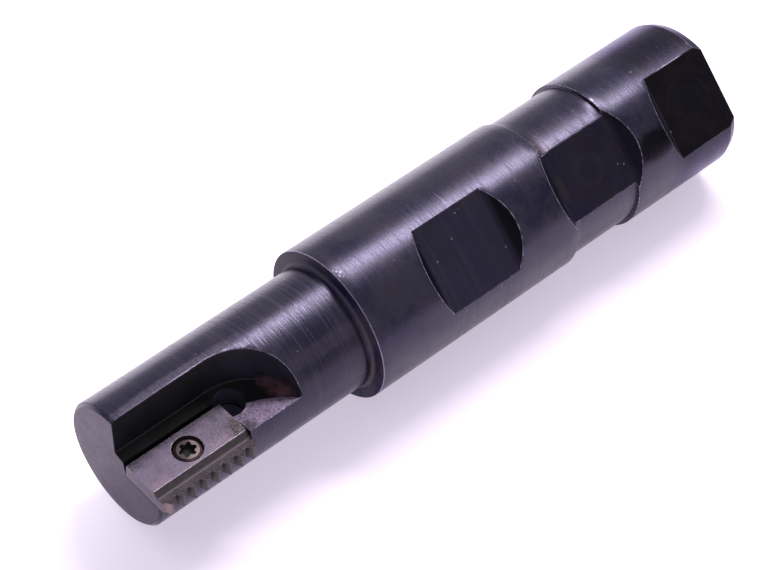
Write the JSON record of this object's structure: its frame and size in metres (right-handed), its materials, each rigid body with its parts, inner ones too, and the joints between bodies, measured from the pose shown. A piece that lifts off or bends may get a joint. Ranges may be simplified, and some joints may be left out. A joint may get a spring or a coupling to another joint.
{
  "type": "indexable thread mill",
  "caption": "Thread mill with a flatted straight shank, a milled gullet and one clamped multi-tooth insert.",
  "frame": {"origin": "centre of the shank's end face, on the axis", "axes": "+Z along the axis to the cutting end; the insert's teeth point to -X, its rake face and the screw head face -Y"},
  "size_m": [0.0254, 0.0254, 0.1154],
  "materials": {
    "oxidised_steel": "black oxide over ground and milled steel, worn bright at the edges",
    "carbide": "ground uncoated carbide, grey-violet, mottled",
    "screw_steel": "bronze-grey hardened steel"
  },
  "bodies": {
    "root": {"cutter_body": "oxidised_steel", "thread_insert": "carbide", "insert_screw": "screw_steel"}
  },
  "joints": []
}
